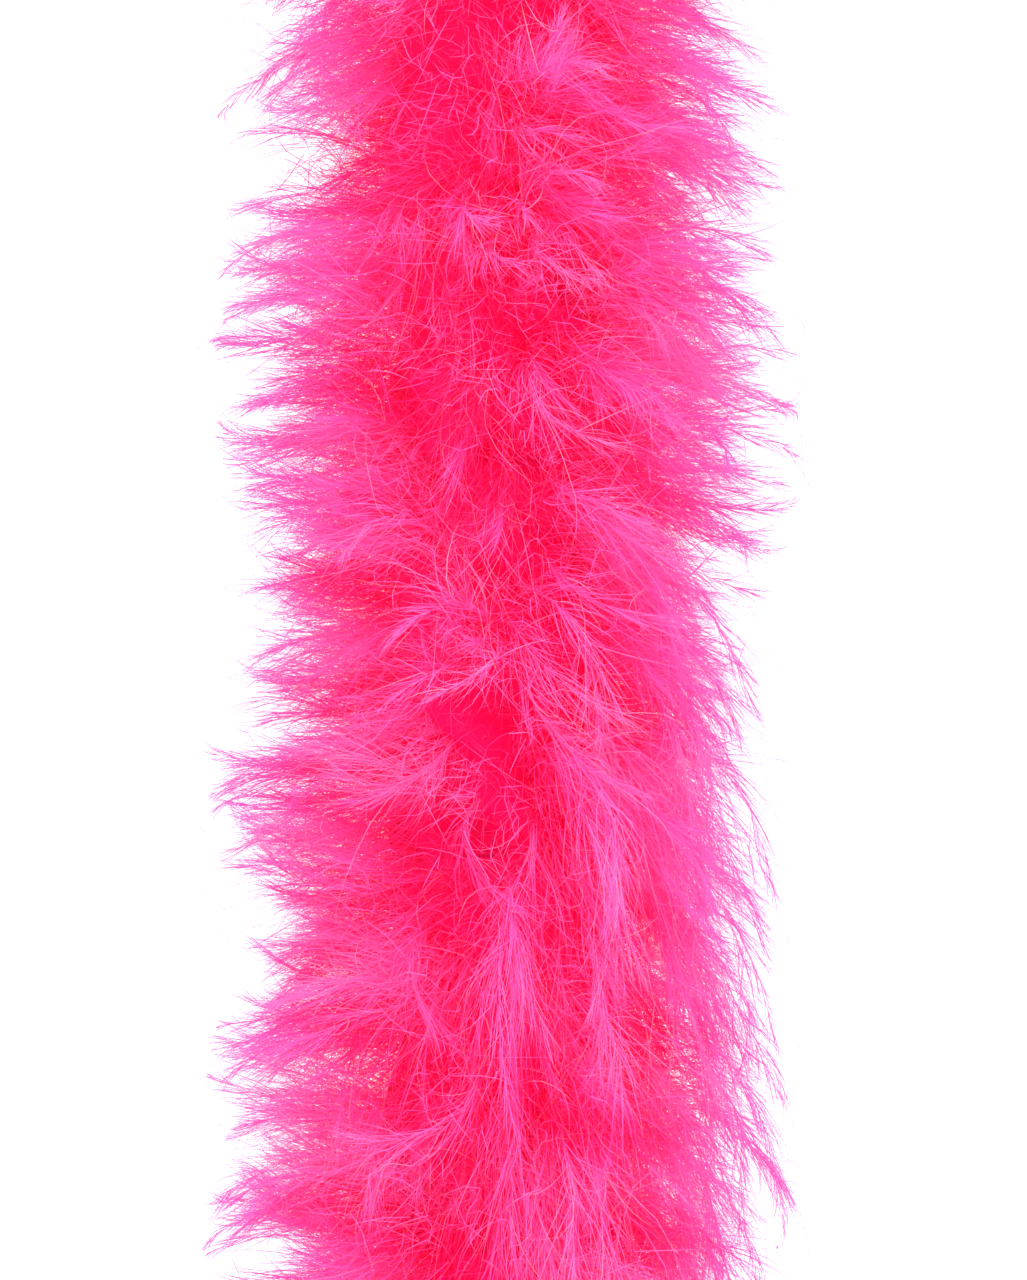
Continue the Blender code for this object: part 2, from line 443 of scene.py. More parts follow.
# %% [markdown]
# ## Shafts
# Each plume of a tuft strays a little from it. Its shaft rises straight out of the core and then
# turns the way its tuft lies, with a bend of its own. The barbs are later drawn towards a point
# just past the tip, partly their own plume's and partly that of the tuft's first plume, which is
# what makes the ends of a tuft hang together.

# %% Shafts
PLUMES_PER_TUFT = 5
SHAFT_STEPS = 10
SHAFT_BEND = 0.32
PLUME_SHORTEST, PLUME_LONGEST = 0.053, 0.080
PLUME_STRAY_TURN, PLUME_STRAY_HEIGHT, PLUME_STRAY_LEAN = 0.06, 0.002, 0.14
ROOT_RADIUS = 0.003
ROOT_RISE, FALLEN_RISE = 0.10, 0.25
SHARED_TIP = 0.40


def grow_shafts(z_top, z_bottom, rng):
    """Shaft paths of every plume rooted between two heights, tuft by tuft."""
    tuft_a, tuft_z, tuft_droop, tuft_side, tuft_length, tuft_dye, tuft_fall = lay_tufts(z_top, z_bottom, rng)
    each = np.repeat(np.arange(len(tuft_a)), PLUMES_PER_TUFT)
    n = len(each)
    a = tuft_a[each] + rng.normal(0, PLUME_STRAY_TURN, n)
    z = tuft_z[each] + rng.normal(0, PLUME_STRAY_HEIGHT, n)
    droop = tuft_droop[each] + rng.normal(0, PLUME_STRAY_LEAN, n)
    side = tuft_side[each] + rng.normal(0, PLUME_STRAY_LEAN, n)
    length = rng.uniform(PLUME_SHORTEST, PLUME_LONGEST, n) * tuft_length[each]
    out = np.stack([np.cos(a), np.sin(a), 0 * a], 1)
    across = np.stack([-np.sin(a), np.cos(a), 0 * a], 1)
    up = np.array([0.0, 0.0, 1.0])
    level = np.cos(side)[:, None] * out + np.sin(side)[:, None] * across
    end = np.cos(droop)[:, None] * level - np.sin(droop)[:, None] * up
    rise = ROOT_RISE + FALLEN_RISE * tuft_fall[each]
    first = unit(out + 0.35 * np.sin(side)[:, None] * across + rise[:, None] * up)
    t = (np.arange(SHAFT_STEPS) + 0.5) / SHAFT_STEPS
    share = smooth(t, -0.1, 0.75)[None, :, None]
    bend = rng.normal(0, SHAFT_BEND, (n, 3))
    directions = unit((1 - share) * first[:, None] + share * end[:, None]
                      + bend[:, None] * np.sin(t * 4.2)[None, :, None])
    start = out * ROOT_RADIUS + np.stack([0 * a, 0 * a, z], 1)
    paths = shorten(walk(start, directions, length / SHAFT_STEPS))
    past_tip = paths[:, -1] + 0.25 * (paths[:, -1] - paths[:, -4])
    target = past_tip[each * PLUMES_PER_TUFT] * SHARED_TIP + past_tip * (1 - SHARED_TIP)
    return paths, target, tuft_dye[each] + rng.normal(0, 0.12, n)


print(TUFTS_PER_METRE * PLUMES_PER_TUFT, "plumes a metre")

# %% [markdown]
# ## Barbs
# A down plume has no stiff vane. Its barbs are long and soft, longest near the root, and they
# leave the shaft at an angle and then turn to run along with it to a ragged tip. Hair particles
# could draw them, but particles can't bend across a joint or leave with the exported model. So
# each barb is made in the same way as the shafts, as a short path.

# %% Barbs
BARBS_PER_PLUME = 92
BARB_STEPS = 3
BARB_WIDTH = 0.00031
TIP_BARB, ROOT_BARB_EXTRA = 0.011, 0.026
BARB_CURL = 0.18
CURLIER = [1.0, 1.0, 2.0, 3.5]


def grow_barbs(paths, target, tint, rng):
    """Soft barbs along every shaft, long near the root, short near the tip and drawn towards the tip."""
    plume = np.repeat(np.arange(len(paths)), BARBS_PER_PLUME)
    n = len(plume)
    t = 0.10 + 0.90 * np.tile((np.arange(BARBS_PER_PLUME) + 0.5) / BARBS_PER_PLUME, len(paths)) ** 0.85
    t = np.clip(t + rng.normal(0, 0.01, n), 0.02, 0.999)
    place = t * SHAFT_STEPS
    low = np.minimum(place.astype(int), SHAFT_STEPS - 1)
    part = (place - low)[:, None]
    here, there = paths[plume, low], paths[plume, low + 1]
    start = here * (1 - part) + there * part
    tangent = unit(there - here)
    size = (TIP_BARB + ROOT_BARB_EXTRA * (1 - t) ** 0.7) * rng.uniform(0.6, 1.2, n)
    open_angle = (0.90 - 0.62 * t) * rng.uniform(0.35, 1.25, n)
    spread = unit(np.cross(tangent, rng.normal(0, 1, (n, 3))))
    first = unit(np.cos(open_angle)[:, None] * tangent + np.sin(open_angle)[:, None] * spread)
    curl = rng.normal(0, BARB_CURL, (n, 3)) * rng.choice(CURLIER, n)[:, None]
    homing = unit(target[plume] - start)
    last = unit(0.35 * first + 0.55 * tangent + 0.60 * homing + curl)
    directions = unit(turning(first, last, BARB_STEPS))
    points = shorten(walk(start, directions, size / BARB_STEPS))
    width = BARB_WIDTH * rng.uniform(0.6, 1.3, n) * (1.15 - 0.55 * t)
    return points, width, tint[plume] + rng.normal(0, 0.10, n), np.zeros(n)


print(BARBS_PER_PLUME, "barbs on a plume, about", BARB_WIDTH * 1000, "mm wide")

# %% [markdown]
# ## Under-down
# Nearer the core the barbs of neighbouring plumes tangle, and no tuft can be told from the next.
# These strands start just above the bed and lie every way, a little outward and a little down.

# %% Under-down
UNDER_DOWN_PER_METRE = 44000
UNDER_DOWN_DEPTH = 0.031
UNDER_DOWN_SHORTEST, UNDER_DOWN_LONGEST = 0.010, 0.026


def grow_under_down(z_top, z_bottom, rng):
    """Soft barbs close to the cord, lying every way, that fill the boa between its tufts."""
    n = int((z_top - z_bottom) * UNDER_DOWN_PER_METRE)
    a = rng.uniform(0, 2 * np.pi, n)
    z = rng.uniform(z_bottom, z_top, n)
    r = (BED_RADIUS - 0.003 + UNDER_DOWN_DEPTH * rng.uniform(0, 1, n) ** 1.2) * end_round(z)
    out = np.stack([np.cos(a), np.sin(a), 0 * a], 1)
    start = out * r[:, None] + np.stack([0 * a, 0 * a, z], 1)
    first = unit(0.50 * out + rng.normal(0, 0.6, (n, 3)))
    last = unit(0.75 * out + rng.normal(0, 0.6, (n, 3)) + np.array([0, 0, -0.3]))
    directions = unit(turning(first, last, BARB_STEPS))
    length = rng.uniform(UNDER_DOWN_SHORTEST, UNDER_DOWN_LONGEST, n)
    points = walk(start, directions, length / BARB_STEPS)
    return points, BARB_WIDTH * rng.uniform(0.4, 0.95, n), rng.uniform(0, 0.9, n), np.zeros(n)


print(UNDER_DOWN_PER_METRE, "strands of under-down a metre")

# %% [markdown]
# ## Curls
# Some barbs come loose from their plume and lie across their neighbours. They catch the light, so
# they are given a painted highlight and show as fine pale hairs, and without them the down would look combed.

# %% Curls
CURLS_PER_METRE = 15000
CURL_STEPS = 5
CURL_WIDTH = 0.00021
CURL_SHORTEST, CURL_LONGEST = 0.012, 0.028
# The most painted highlight that a curl is given.
CURL_HIGHLIGHT_MOST = 1.3


def grow_curls(paths, tint, z_top, z_bottom, rng):
    """Loose barbs with a painted highlight that cross over their neighbours and keep the down from looking
    combed.
    """
    n = int((z_top - z_bottom) * CURLS_PER_METRE)
    plume = rng.integers(0, len(paths), n)
    joint = rng.integers(SHAFT_STEPS // 2 - 1, SHAFT_STEPS, n)
    start = paths[plume, joint]
    tangent = unit(paths[plume, joint] - paths[plume, joint - 1])
    first = unit(0.6 * tangent + rng.normal(0, 0.5, (n, 3)))
    last = unit(0.5 * tangent + rng.normal(0, 0.8, (n, 3)))
    directions = unit(turning(first, last, CURL_STEPS))
    points = shorten(walk(start, directions, rng.uniform(CURL_SHORTEST, CURL_LONGEST, n) / CURL_STEPS))
    return points, CURL_WIDTH * rng.uniform(0.6, 1.3, n), tint[plume], rng.uniform(0, CURL_HIGHLIGHT_MOST, n)


print(CURLS_PER_METRE, "curls a metre")

# %% [markdown]
# ## Wisps
# The last of the outline is single hairs that stray well past the tufts and waver as they go.

# %% Wisps
WISPS_PER_METRE = 5200
WISP_STEPS = 6
WISP_WIDTH = 0.00015
WISP_PALE = 0.75
WISP_SHORTEST, WISP_LONGEST = 0.026, 0.066


def grow_wisps(paths, tint, z_top, z_bottom, rng):
    """Single fine hairs that stray past the ends of the tufts."""
    n = int((z_top - z_bottom) * WISPS_PER_METRE)
    plume = rng.integers(0, len(paths), n)
    joint = rng.integers(SHAFT_STEPS // 2, SHAFT_STEPS, n)
    start = paths[plume, joint]
    tangent = unit(paths[plume, joint] - paths[plume, joint - 1])
    first = unit(tangent + rng.normal(0, 0.25, (n, 3)))
    last = unit(tangent + rng.normal(0, 0.55, (n, 3)))
    share = ((np.arange(WISP_STEPS) + 0.5) / WISP_STEPS)[None, :, None]
    wave = rng.normal(0, 0.18, (n, 1, 3)) * np.sin(share * 6 + rng.uniform(0, 6, (n, 1, 1)))
    directions = unit(turning(first, last, WISP_STEPS) + wave)
    points = walk(start, directions, rng.uniform(WISP_SHORTEST, WISP_LONGEST, n) / WISP_STEPS)
    return points, np.full(n, WISP_WIDTH), tint[plume], np.full(n, WISP_PALE)


print(WISPS_PER_METRE, "wisps a metre")

# %% [markdown]
# ## Ribbons
# Each strand becomes a narrow ribbon that tapers to a point. A ribbon is far cheaper than a tube,
# and with its flat side turned at random, the down looks the same from every side.

# %% Ribbon meshes
def ribbons(points, width, rng):
    """Vertices, quads, triangles and the share along the strand, for tapering ribbons."""
    n, k, _ = points.shape
    along = unit(np.diff(points, axis=1, append=points[:, -1:] * 2 - points[:, -2:-1]))
    flat = unit(np.cross(along, rng.normal(0, 1, (n, 1, 3)) + 0 * along))
    share = np.linspace(0, 1, k)
    taper = (0.55 + 0.45 * np.sin(share * 2.6 + 0.5)) * (1 - share ** 3)
    half = flat * (width[:, None] * taper[None])[..., None] / 2
    sides = np.stack([points - half, points + half], 2)[:, :-1].reshape(n, -1, 3)
    verts = np.concatenate([sides, points[:, -1:]], 1)
    per = verts.shape[1]
    base = (np.arange(n) * per)[:, None, None]
    rung = np.arange(k - 2)[None, :, None] * 2
    quads = base + rung + np.array([0, 1, 3, 2])
    tip = (k - 2) * 2
    tris = base[:, 0] + np.array([tip, tip + 1, tip + 2])
    shares = np.append(np.repeat(share[:-1], 2), 1.0)
    return verts.reshape(-1, 3), quads.reshape(-1, 4), tris, np.tile(shares, n)


def tube_faces(count, sides):
    """Faces of a tube of count rings, with a fan to a middle point at each end."""
    ring, step = np.meshgrid(np.arange(count - 1), np.arange(sides), indexing="ij")
    nxt = (step + 1) % sides
    quads = np.stack([ring * sides + step, ring * sides + nxt,
                      (ring + 1) * sides + nxt, (ring + 1) * sides + step], -1).reshape(-1, 4)
    step = np.arange(sides)
    nxt = (step + 1) % sides
    low, high, last = count * sides, count * sides + 1, (count - 1) * sides
    tris = np.concatenate([np.stack([step * 0 + low, nxt, step], 1),
                           np.stack([step * 0 + high, last + step, last + nxt], 1)])
    return quads, tris


def build_mesh(name, verts, quads, tris, fields, material):
    """One mesh from arrays of four-sided and three-sided faces, with named values at its points."""
    mesh = bpy.data.meshes.new(name)
    mesh.vertices.add(len(verts))
    mesh.vertices.foreach_set("co", np.ascontiguousarray(verts, np.float32).ravel())
    mesh.loops.add(quads.size + tris.size)
    mesh.loops.foreach_set("vertex_index", np.concatenate([quads.ravel(), tris.ravel()]).astype(np.int32))
    starts = np.concatenate([np.arange(len(quads)) * 4, quads.size + np.arange(len(tris)) * 3])
    mesh.polygons.add(len(starts))
    mesh.polygons.foreach_set("loop_start", starts.astype(np.int32))
    mesh.update(calc_edges=True)
    mesh.shade_smooth()
    for field, values in fields.items():
        layer = mesh.attributes.new(field, "FLOAT", "POINT")
        layer.data.foreach_set("value", np.ascontiguousarray(values, np.float32))
    mesh.materials.append(material)
    piece = bpy.data.objects.new(name, mesh)
    scene.collection.objects.link(piece)
    return piece


print("a strand of", BARB_STEPS, "steps costs", 2 * BARB_STEPS - 1, "triangles")

# %% [markdown]
# ## The bed of inner down
# Next to the cord the down is so dense that no light comes through. A lumpy closed body stands
# for it, hidden except in the gaps between tufts, where it shows the deep red of the painted shade.

# %% Bed
BED_LUMP = 0.0030
BED_OVERLAP = 0.001
BED_RINGS, BED_SIDES = 30, 60
bed_waves = random_waves(14, (2, 9), 60, 420)


def bed_radius(a, z):
    return BED_RADIUS + BED_LUMP * ripple(bed_waves, a, z) / math.sqrt(len(bed_waves))


def bed(z_top, z_bottom):
    """Rings from the top down, so the faces are turned over to look outward."""
    z = np.linspace(min(z_top + BED_OVERLAP, boa_top), max(z_bottom - BED_OVERLAP, boa_bottom), BED_RINGS)
    a = np.arange(BED_SIDES) * 2 * np.pi / BED_SIDES
    grid_z, grid_a = np.meshgrid(z, a, indexing="ij")
    r = bed_radius(grid_a, grid_z) * end_round(grid_z)
    verts = np.stack([r * np.cos(grid_a), r * np.sin(grid_a), grid_z], -1).reshape(-1, 3)
    verts = np.concatenate([verts, [[0, 0, z[0]], [0, 0, z[-1]]]])
    quads, tris = tube_faces(BED_RINGS, BED_SIDES)
    return verts, quads[:, [0, 3, 2, 1]], tris[:, [0, 2, 1]]


print("bed", BED_RADIUS, "m in radius, with lumps of about", BED_LUMP, "m")

# %% [markdown]
# ## Shader maths as expressions
# A colour that changes over the surface is a small sum: how far out a strand lies, how far along
# itself a point is, how the dye took. Written as a node graph, that sum is a tangle of Math nodes.
# So one class wraps a socket and lets it be added and multiplied like a number, and one method
# makes every other node: its settings first, then the values or links of its sockets.

# %% Socket maths
class Value:
    """A node's output that can be used in arithmetic."""

    def __init__(self, finish, socket):
        self.finish = finish
        self.socket = socket

    def math(self, operation, first, second=0.0):
        return self.finish.node("ShaderNodeMath", {"operation": operation}, _0=first, _1=second)

    def __add__(self, other):
        return self.math("ADD", self, other)

    def __radd__(self, other):
        return self.math("ADD", other, self)

    def __sub__(self, other):
        return self.math("SUBTRACT", self, other)

    def __rsub__(self, other):
        return self.math("SUBTRACT", other, self)

    def __mul__(self, other):
        return self.math("MULTIPLY", self, other)

    def __rmul__(self, other):
        return self.math("MULTIPLY", other, self)

    def clamp(self):
        return self.math("MINIMUM", self.math("MAXIMUM", self, 0.0), 1.0)

    def sine(self):
        return self.math("SINE", self)


class Finish:
    """A material in the making."""

    def __init__(self, name, body, roughness, gloss):
        self.material = bpy.data.materials.new(name)
        self.material.use_nodes = True
        self.tree = self.material.node_tree
        self.shader = self.tree.nodes["Principled BSDF"]
        self.shader.inputs["Base Color"].default_value = body
        self.shader.inputs["Roughness"].default_value = roughness
        self.shader.inputs["Specular IOR Level"].default_value = gloss

    def node(self, kind, settings=None, output=0, **sockets):
        """Any node. A socket is named, or numbered as _0, _1 and so on."""
        made = self.tree.nodes.new(kind)
        for key, value in (settings or {}).items():
            setattr(made, key, value)
        for key, value in sockets.items():
            slot = made.inputs[int(key[1:])] if key.startswith("_") else made.inputs[key]
            if isinstance(value, Value):
                self.tree.links.new(value.socket, slot)
            else:
                slot.default_value = value
        return Value(self, made.outputs[output])

    def attribute(self, name):
        return self.node("ShaderNodeAttribute", {"attribute_name": name}, 2)

    def place(self):
        """The point's own x, y and z on the piece."""
        point = self.node("ShaderNodeTexCoord", None, 3)
        return [self.node("ShaderNodeSeparateXYZ", None, axis, _0=point) for axis in range(3)]

    def mix(self, share, first, second):
        return self.node("ShaderNodeMix", {"data_type": "RGBA"}, 2, _0=share, _6=first, _7=second)

    def feed(self, socket, value):
        self.tree.links.new(value.socket, self.shader.inputs[socket])


def ramp(value, low, high):
    """0 below low, 1 above high and straight between them."""
    return ((value - low) * (1 / (high - low))).clamp()


print("socket maths ready")

# %% [markdown]
# ## The dyed down
# Dyed down is one colour all through, but it never looks so. Light that has passed from strand
# to strand gets redder each time, so the inner down is deep and saturated, and the ends of the
# plumes, lit straight, are a paler pink. The bounces of light do part of that. The rest is painted
# into the colour with the distance from the cord: a deep red painted shade near it and a pale pink
# painted highlight far out. Down is also half see-through, so part of the light goes on
# through each strand, in a plain pink.

# %% Down material
# Painted shade (deep red), the down's own pink, painted highlight (pale pink), and the pink seen through a
# strand.
PAINTED_SHADE = (1.0, 0.002, 0.13, 1.0)
BODY = (1.0, 0.125, 0.60, 1.0)
PAINTED_HIGHLIGHT = (1.0, 0.54, 0.67, 1.0)
THROUGH = (1.0, 0.13, 0.60, 1.0)
DOWN_ROUGHNESS = 0.75
DOWN_GLOSS = 0.15
SEE_THROUGH = 0.45

down = Finish("marabou_down", BODY, DOWN_ROUGHNESS, DOWN_GLOSS)
reach = down.attribute("reach")
along = down.attribute("along")
tint = down.attribute("tint")
pale = down.attribute("pale")
# Painted shade: the colour turns deep red towards the cord.
out_of_shade = ramp(reach + tint * 0.12, 0.48, 0.82)
outer = ramp(reach, 0.55, 1.15)
# Painted highlight: the colour turns pale pink towards the outer ends of the strands, and on strands given a
# highlight gain.
highlight_share = (outer * (0.16 + along * 0.15 + tint * 0.22) + pale * 0.6).clamp()
down.feed("Base Color", down.mix(highlight_share, down.mix(out_of_shade, PAINTED_SHADE, BODY), PAINTED_HIGHLIGHT))
through = down.node("ShaderNodeBsdfTranslucent", Color=THROUGH)
lit = Value(down, down.shader.outputs[0])
both = down.node("ShaderNodeMixShader", _0=SEE_THROUGH, _1=lit, _2=through)
down.tree.links.new(both.socket, down.tree.nodes["Material Output"].inputs["Surface"])
print("down:", len(down.tree.nodes), "nodes")

# %% [markdown]
# ## Cord and thread finishes
# The core is a two-ply cotton cord dyed with the down, and the quills are bound on with sewing
# thread. Where the cord is the plain working model, its twist is drawn by the finish: a wave that
# runs round and along at once, with painted shade in its troughs, the grooves between plies and
# turns. Where the plies are real geometry, only the fuzz of the yarn is left to draw, and fine
# noise does that, in darker and lighter flecks.

# %% Cord and thread materials
# The darker cord and thread colours serve both as random flecks in spun yarn and as painted shade in the
# grooves of the twist and the wound turns.
CORD = (0.78, 0.020, 0.18, 1.0)
CORD_FLECK_AND_GROOVE_SHADE = (0.42, 0.004, 0.07, 1.0)
THREAD = (0.90, 0.060, 0.30, 1.0)
THREAD_FLECK_AND_GROOVE_SHADE = (0.50, 0.010, 0.10, 1.0)
CORD_ROUGHNESS, CORD_GLOSS = 0.85, 0.2
THREAD_ROUGHNESS, THREAD_GLOSS = 0.55, 0.4
CORD_FUZZ, THREAD_FUZZ, WOUND_FUZZ = 1500.0, 4000.0, 1800.0
PLY_PITCH = 0.0065
THREAD_PITCH = 0.00078


def yarn_finish(name, body, fleck_and_groove_shade, roughness, gloss, scale):
    """Spun yarn: fine noise in the colour and in the height."""
    made = Finish(name, body, roughness, gloss)
    point = made.node("ShaderNodeTexCoord", None, 3)
    fuzz = made.node("ShaderNodeTexNoise", None, 0, Vector=point, Scale=scale, Detail=4.0)
    made.feed("Base Color", made.mix(ramp(fuzz, 0.35, 0.65), fleck_and_groove_shade, body))
    bump = made.node("ShaderNodeBump", None, 0, Height=fuzz, Strength=0.5, Distance=0.0003)
    made.feed("Normal", bump)
    return made.material


def wound_finish(name, body, fleck_and_groove_shade, roughness, gloss, turns_round, pitch):
    """Plies or turns of thread: a wave that climbs as it goes round, with painted shade in the grooves."""
    made = Finish(name, body, roughness, gloss)
    x, y, z = made.place()
    angle = x.math("ARCTAN2", y, x)
    wave = (angle * turns_round + z * (2 * math.pi / pitch)).sine() * 0.5 + 0.5
    fuzz = made.node("ShaderNodeTexNoise", None, 0, Scale=WOUND_FUZZ, Detail=3.0)
    # Painted shade: the colour darkens in the troughs of the wave, the grooves between plies or turns.
    made.feed("Base Color", made.mix((wave * 0.8 + fuzz * 0.3).clamp(), fleck_and_groove_shade, body))
    bump = made.node("ShaderNodeBump", None, 0, Height=wave + fuzz * 0.3, Strength=0.8, Distance=0.0004)
    made.feed("Normal", bump)
    return made.material


cord_look = (CORD, CORD_FLECK_AND_GROOVE_SHADE, CORD_ROUGHNESS, CORD_GLOSS)
thread_look = (THREAD, THREAD_FLECK_AND_GROOVE_SHADE, THREAD_ROUGHNESS, THREAD_GLOSS)
cord_yarn = yarn_finish("cord_yarn", *cord_look, CORD_FUZZ)
thread_yarn = yarn_finish("thread_yarn", *thread_look, THREAD_FUZZ)
cord_twist = wound_finish("cord_twist", *cord_look, 2.0, PLY_PITCH)
thread_wound = wound_finish("thread_wound", *thread_look, 1.0, THREAD_PITCH)

painted = 0
for piece in bpy.data.objects:
    wanted = cord_twist if piece.name.startswith("core_") else thread_wound
    if piece.type == "MESH" and piece.name.startswith(("core_", "binding_")):
        for place in piece.material_slots:
            place.link = "OBJECT"
            place.material = wanted
            painted += 1
print(painted, "working pieces painted")

# %% [markdown]
# ## The hanging loop, the bindings and the stopper knot
# At the top the core cord is doubled into a loop and bound to itself with close turns of thread.
# At the bottom it is bound once more, tied in an overhand knot so that nothing can slip off, and
# left with a short frayed tail. A cord is two plies wound round each other, so it is swept as two
# round strands that circle one middle line. The turns of thread are one long coil swept the same
# way. Real plies and turns give these small pieces their true outline close up.

# %% Sweeping cord and thread
def frames(route):
    """Two directions square to the route at each point, carried along without twisting."""
    ahead = unit(np.gradient(route, axis=0))
    first = np.zeros_like(route)
    hint = np.array([0.0, 1.0, 0.0]) if abs(ahead[0, 1]) < 0.9 else np.array([1.0, 0.0, 0.0])
    for i, way in enumerate(ahead):
        hint = hint - way * hint.dot(way)
        hint = hint / np.linalg.norm(hint)
        first[i] = hint
    return first, np.cross(ahead, first)


def sweep(route, radius, sides):
    """A closed round strand along a route."""
    first, second = frames(route)
    angle = np.arange(sides) * 2 * np.pi / sides
    rings = (route[:, None] + radius * (np.cos(angle)[None, :, None] * first[:, None]
                                        + np.sin(angle)[None, :, None] * second[:, None]))
    quads, tris = tube_faces(len(route), sides)
    return np.concatenate([rings.reshape(-1, 3), route[:1], route[-1:]]), quads, tris


def join(parts):
    """Several swept strands as one set of arrays."""
    verts, quads, tris = [], [], []
    offset = 0
    for part_verts, part_quads, part_tris in parts:
        verts.append(part_verts)
        quads.append(part_quads + offset)
        tris.append(part_tris + offset)
        offset += len(part_verts)
    return np.concatenate(verts), np.concatenate(quads), np.concatenate(tris)


def even(route, spacing):
    """The same route with its points evenly spaced."""
    gaps = np.linalg.norm(np.diff(route, axis=0), axis=1)
    where = np.concatenate([[0], np.cumsum(gaps)])
    wanted = np.linspace(0, where[-1], max(int(where[-1] / spacing), 4))
    return np.stack([np.interp(wanted, where, route[:, axis]) for axis in range(3)], 1)


PLY_SIDES = 10
PLY_FATNESS = 1.08


def two_ply(route, radius, spacing=0.0006):
    """Two plies circling the route, to the outer radius of the cord."""
    route = even(route, spacing)
    first, second = frames(route)
    ply = radius * PLY_FATNESS / 2
    turn = 2 * np.pi * np.arange(len(route)) * spacing / PLY_PITCH
    parts = []
    for phase in (0, np.pi):
        circle = np.cos(turn + phase)[:, None] * first + np.sin(turn + phase)[:, None] * second
        parts.append(sweep(route + (radius - ply) * circle, ply, PLY_SIDES))
    return parts


def coil(half_x, half_y, top, bottom, thread_radius):
    """Close turns of thread round an oval."""
    turns = (top - bottom - 2 * thread_radius) / (2 * thread_radius * 0.97)
    t = np.linspace(0, turns * 2 * np.pi, int(turns * 36))
    ring = half_y - thread_radius
    x = (half_x - half_y) * np.sign(np.cos(t)) + ring * np.cos(t)
    z = np.linspace(top - thread_radius, bottom + thread_radius, len(t))
    return sweep(np.stack([x, ring * np.sin(t), z], 1), thread_radius, 6)


def small_piece(name, parts, material, stands_for, body):
    """One mesh from swept strands, in place of a piece of the working model."""
    verts, quads, tris = join(parts)
    piece = build_mesh(name, verts, quads, tris, {}, material)
    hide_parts(stands_for)
    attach(piece, body)
    print(name, len(quads) * 2 + len(tris), "triangles")
    return piece


print("plies", round(PLY_PITCH * 1000, 1), "mm from turn to turn")

# %% [markdown]
# ## The upper end
# The loop's two legs lie side by side inside the binding, part in a neck and meet in a round arch.
# Half of that route is laid out and then mirrored. The binding is a coil of thread round both legs.

# %% Loop and its binding
loop_low, loop_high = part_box("hang_loop")
CORD_RADIUS = (loop_high[1] - loop_low[1]) / 2
leg_x = CORD_RADIUS + 0.00015
arc_radius = (loop_high[0] - loop_low[0]) / 2 - CORD_RADIUS
arc_z = loop_high[2] - CORD_RADIUS - arc_radius
NECK = 0.022
t = np.linspace(0, 1, 40)
rise = t * t * (3 - 2 * t)
neck = np.stack([leg_x + (arc_radius - leg_x) * rise, 0 * t, arc_z - NECK + NECK * t], 1)
bow = np.linspace(0, np.pi, 60)
arch = np.stack([arc_radius * np.cos(bow), 0 * bow, arc_z + arc_radius * np.sin(bow)], 1)
foot = np.array([[leg_x, 0, loop_low[2] + 0.0003]])
half_loop = np.concatenate([foot, neck])
loop_route = np.concatenate([half_loop, arch[1:-1], half_loop[::-1] * np.array([-1, 1, 1])])
small_piece("loop_cord", two_ply(loop_route, CORD_RADIUS), cord_yarn, "hang_loop", "loop_end")

wrap_low, wrap_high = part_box("top_whipping")
THREAD_RADIUS = 0.0004
wrap = coil(wrap_high[0], wrap_high[1], wrap_high[2], wrap_low[2], THREAD_RADIUS)
small_piece("loop_binding", [wrap], thread_yarn, "top_whipping", "loop_end")

# %% [markdown]
# ## The lower end
# A real overhand knot is one cord passed once through its own loop. Closed on itself that curve is
# a trefoil, which has a simple formula, and with the core let in above and the tail below it looks
# like the tied knot. The tail's cut end frays, so a few loose fibres fan out of it.

# %% Lower binding, knot and tail
wrap_low, wrap_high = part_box("bottom_whipping")
wrap = coil(wrap_high[0], wrap_high[1], wrap_high[2], wrap_low[2], THREAD_RADIUS * 0.75)
small_piece("end_binding", [wrap], thread_yarn, "bottom_whipping", stretch_names[-1])

KNOT_CORD = 0.00172
knot_low, knot_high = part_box("end_knot")
knot_reach = (knot_high[0] - KNOT_CORD) / 3
knot_rise = (knot_high[2] - knot_low[2]) / 2 - KNOT_CORD
knot_z = (knot_high[2] + knot_low[2]) / 2
t = np.linspace(0, 2 * np.pi, 240)
knot_route = np.stack([knot_reach * (np.sin(t) + 2 * np.sin(2 * t)),
                       knot_reach * (np.cos(t) - 2 * np.cos(2 * t)),
                       knot_z - knot_rise * np.sin(3 * t)], 1)
through_knot = np.array([[0, 0, knot_high[2] - 0.0002], [0, 0, knot_low[2] + 0.0002]])
knot_parts = two_ply(knot_route, KNOT_CORD) + two_ply(through_knot, CORD_RADIUS)
small_piece("stopper_knot", knot_parts, cord_yarn, "end_knot", stretch_names[-1])

tail_low, tail_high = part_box("end_tail")
TAIL_SWAY = 0.0030
FRAY_STRANDS = 60
FRAY_LENGTH = 0.006
t = np.linspace(0, 1, 40)
tail_drop = tail_high[2] - tail_low[2]
tail_route = np.stack([TAIL_SWAY * t * t * (3 - 2 * t), 0 * t, tail_high[2] - tail_drop * t], 1)
rng_fray = np.random.default_rng(5)
fray_angle = rng_fray.uniform(0, 2 * np.pi, FRAY_STRANDS)
fray_out = np.stack([np.cos(fray_angle), np.sin(fray_angle), 0 * fray_angle], 1)
fray = []
for way in fray_out:
    begin = tail_route[-1] + way * CORD_RADIUS * rng_fray.uniform(0.1, 0.8) + np.array([0, 0, 0.0015])
    lean = way * rng_fray.uniform(0.1, 0.7) + np.array([0, 0, -1.0])
    step = np.linspace(0, 1, 5)[:, None]
    fray.append(sweep(begin + FRAY_LENGTH * rng_fray.uniform(0.6, 1.1) * step * lean, 0.00012, 4))
